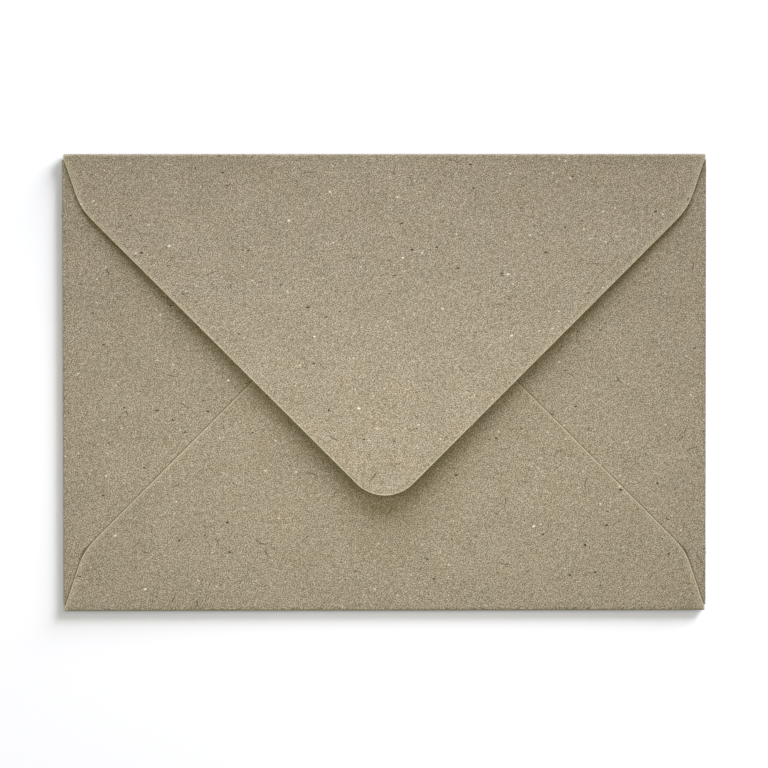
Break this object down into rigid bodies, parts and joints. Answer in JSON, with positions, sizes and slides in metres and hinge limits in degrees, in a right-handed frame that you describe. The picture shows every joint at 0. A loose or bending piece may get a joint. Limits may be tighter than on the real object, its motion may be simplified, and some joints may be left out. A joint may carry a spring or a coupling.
{
  "type": "envelope",
  "caption": "Flat paper envelope with a V-shaped closure flap that turns on its top fold, over a pocket of glued side and bottom flaps.",
  "frame": {"origin": "middle of the closed envelope's rectangle, on the plane of the address side that it lies on", "axes": "+X along the width, +Y from the bottom fold to the closure fold, +Z out of the back towards the closure flap"},
  "size_m": [0.162, 0.115, 0.0066],
  "materials": {
    "paper": "matte",
    "dried_glue": "satin",
    "dried_gum": "gloss"
  },
  "bodies": {
    "pocket": {"front_panel": "paper", "left_side_fold": "paper", "right_side_fold": "paper", "left_side_flap": "paper", "right_side_flap": "paper", "left_seam_glue": "dried_glue", "right_seam_glue": "dried_glue", "bottom_fold": "paper", "bottom_flap": "paper", "closure_fold": "paper"},
    "closure": {"closure_flap": "paper", "closure_gum": "dried_gum"}
  },
  "joints": [
    {"name": "closure_flap_hinge", "type": "hinge", "parent": "pocket", "child": "closure", "pos_m": [0, 0.05643, 0.00108], "axis": [-1, 0, 0], "range_deg": [-3, 177], "stiffness_Nm_per_rad": 0.0015, "springref_deg": 16.04, "deforming": ["closure_fold"]}
  ]
}
